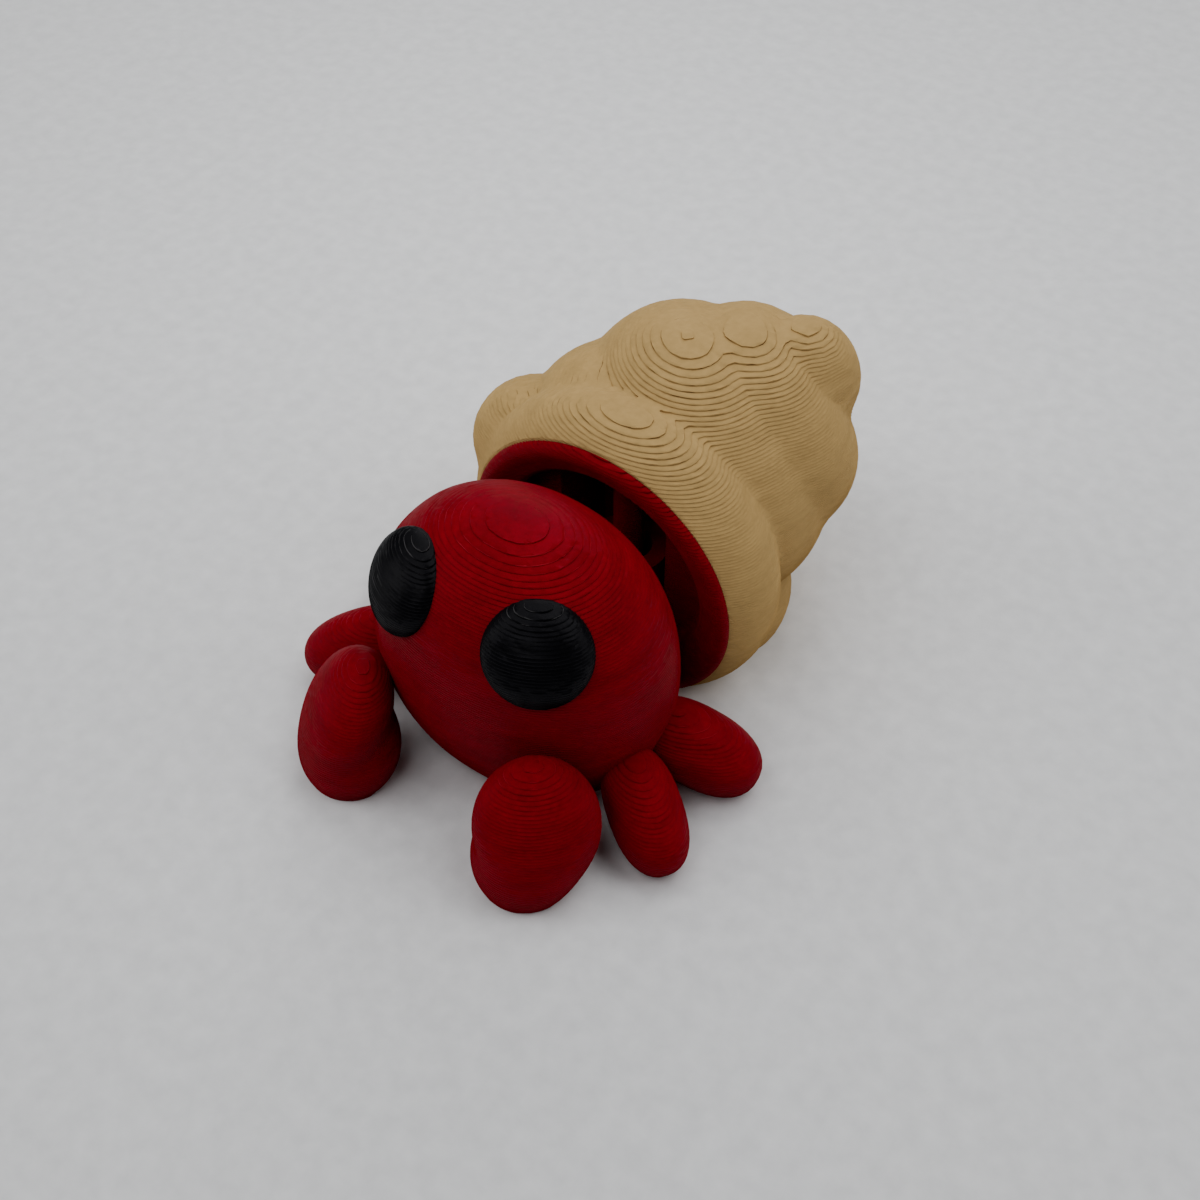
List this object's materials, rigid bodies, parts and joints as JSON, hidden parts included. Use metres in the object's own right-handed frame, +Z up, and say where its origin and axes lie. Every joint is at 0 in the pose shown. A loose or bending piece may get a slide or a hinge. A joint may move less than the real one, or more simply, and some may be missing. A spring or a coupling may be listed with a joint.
{
  "type": "3D-printed toy hermit crab",
  "caption": "Small printed plastic hermit crab toy with a rounded red head, black inlaid eyes, stubby claws and legs, and a tan spiral shell hinged behind it.",
  "frame": {"origin": "on the floor, below the middle of the toy's bounding box", "axes": "+Z up, the crab faces -Y, the shell lies towards +Y, the crab's own left is +X"},
  "size_m": [0.0252, 0.033, 0.0169],
  "materials": {
    "red_plastic": "matte, fine printed layers",
    "black_plastic": "satin, fine printed layers",
    "tan_plastic": "matte, fine printed layers"
  },
  "bodies": {
    "shell_side": {"collar": "red_plastic", "shell_body_whorl": "tan_plastic", "shell_spire": "tan_plastic"},
    "crab_side": {"head": "red_plastic", "torso": "red_plastic", "neck_link": "red_plastic", "eye_left": "black_plastic", "eye_right": "black_plastic", "claw_left": "red_plastic", "claw_right": "red_plastic", "front_leg_left": "red_plastic", "front_leg_right": "red_plastic", "rear_leg_left": "red_plastic", "rear_leg_right": "red_plastic"}
  },
  "joints": [
    {"name": "neck_swing", "type": "hinge", "parent": "shell_side", "child": "crab_side", "pos_m": [0, 0.00287, 0.0048], "axis": [0, 0, 1], "range_deg": [-7, 7]}
  ]
}
